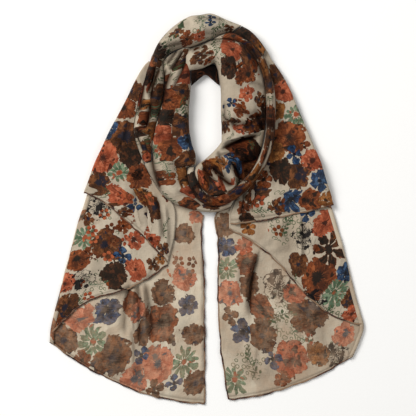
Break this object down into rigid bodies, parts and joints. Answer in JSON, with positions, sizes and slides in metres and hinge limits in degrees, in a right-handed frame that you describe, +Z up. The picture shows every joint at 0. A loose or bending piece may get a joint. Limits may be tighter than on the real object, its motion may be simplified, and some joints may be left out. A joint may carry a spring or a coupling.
{
  "type": "muslin scarf laid flat in a loop",
  "caption": "Long printed muslin scarf laid flat, wound into a loop round an open neck hole, with both hemmed ends side by side.",
  "frame": {"origin": "middle of the scarf's footprint, on the surface it lies on", "axes": "+Y from the hems to the back of the neck, +X to the right seen from above with the neck at the top, +Z up from the surface"},
  "size_m": [0.4698, 0.5838, 0.0455],
  "materials": {
    "muslin_printed_side": "matte soft muslin, printed with flowers on a cream ground",
    "muslin_faded_side": "matte soft muslin, the print seen paler through the thin cloth"
  },
  "bodies": {
    "root": {"loop_top_band": "muslin_printed_side", "loop_left_outer_folds": "muslin_printed_side", "loop_left_band": "muslin_printed_side", "loop_rim": "muslin_printed_side", "loop_right_band": "muslin_printed_side", "loop_front_knot": "muslin_printed_side", "loop_neck_back": "muslin_printed_side", "loop_right_shoulder": "muslin_printed_side", "left_tail_under": "muslin_faded_side", "left_tail_middle": "muslin_printed_side", "left_tail_top": "muslin_printed_side", "right_tail_under": "muslin_faded_side", "right_tail_middle": "muslin_printed_side", "right_tail_top": "muslin_printed_side"}
  },
  "joints": []
}
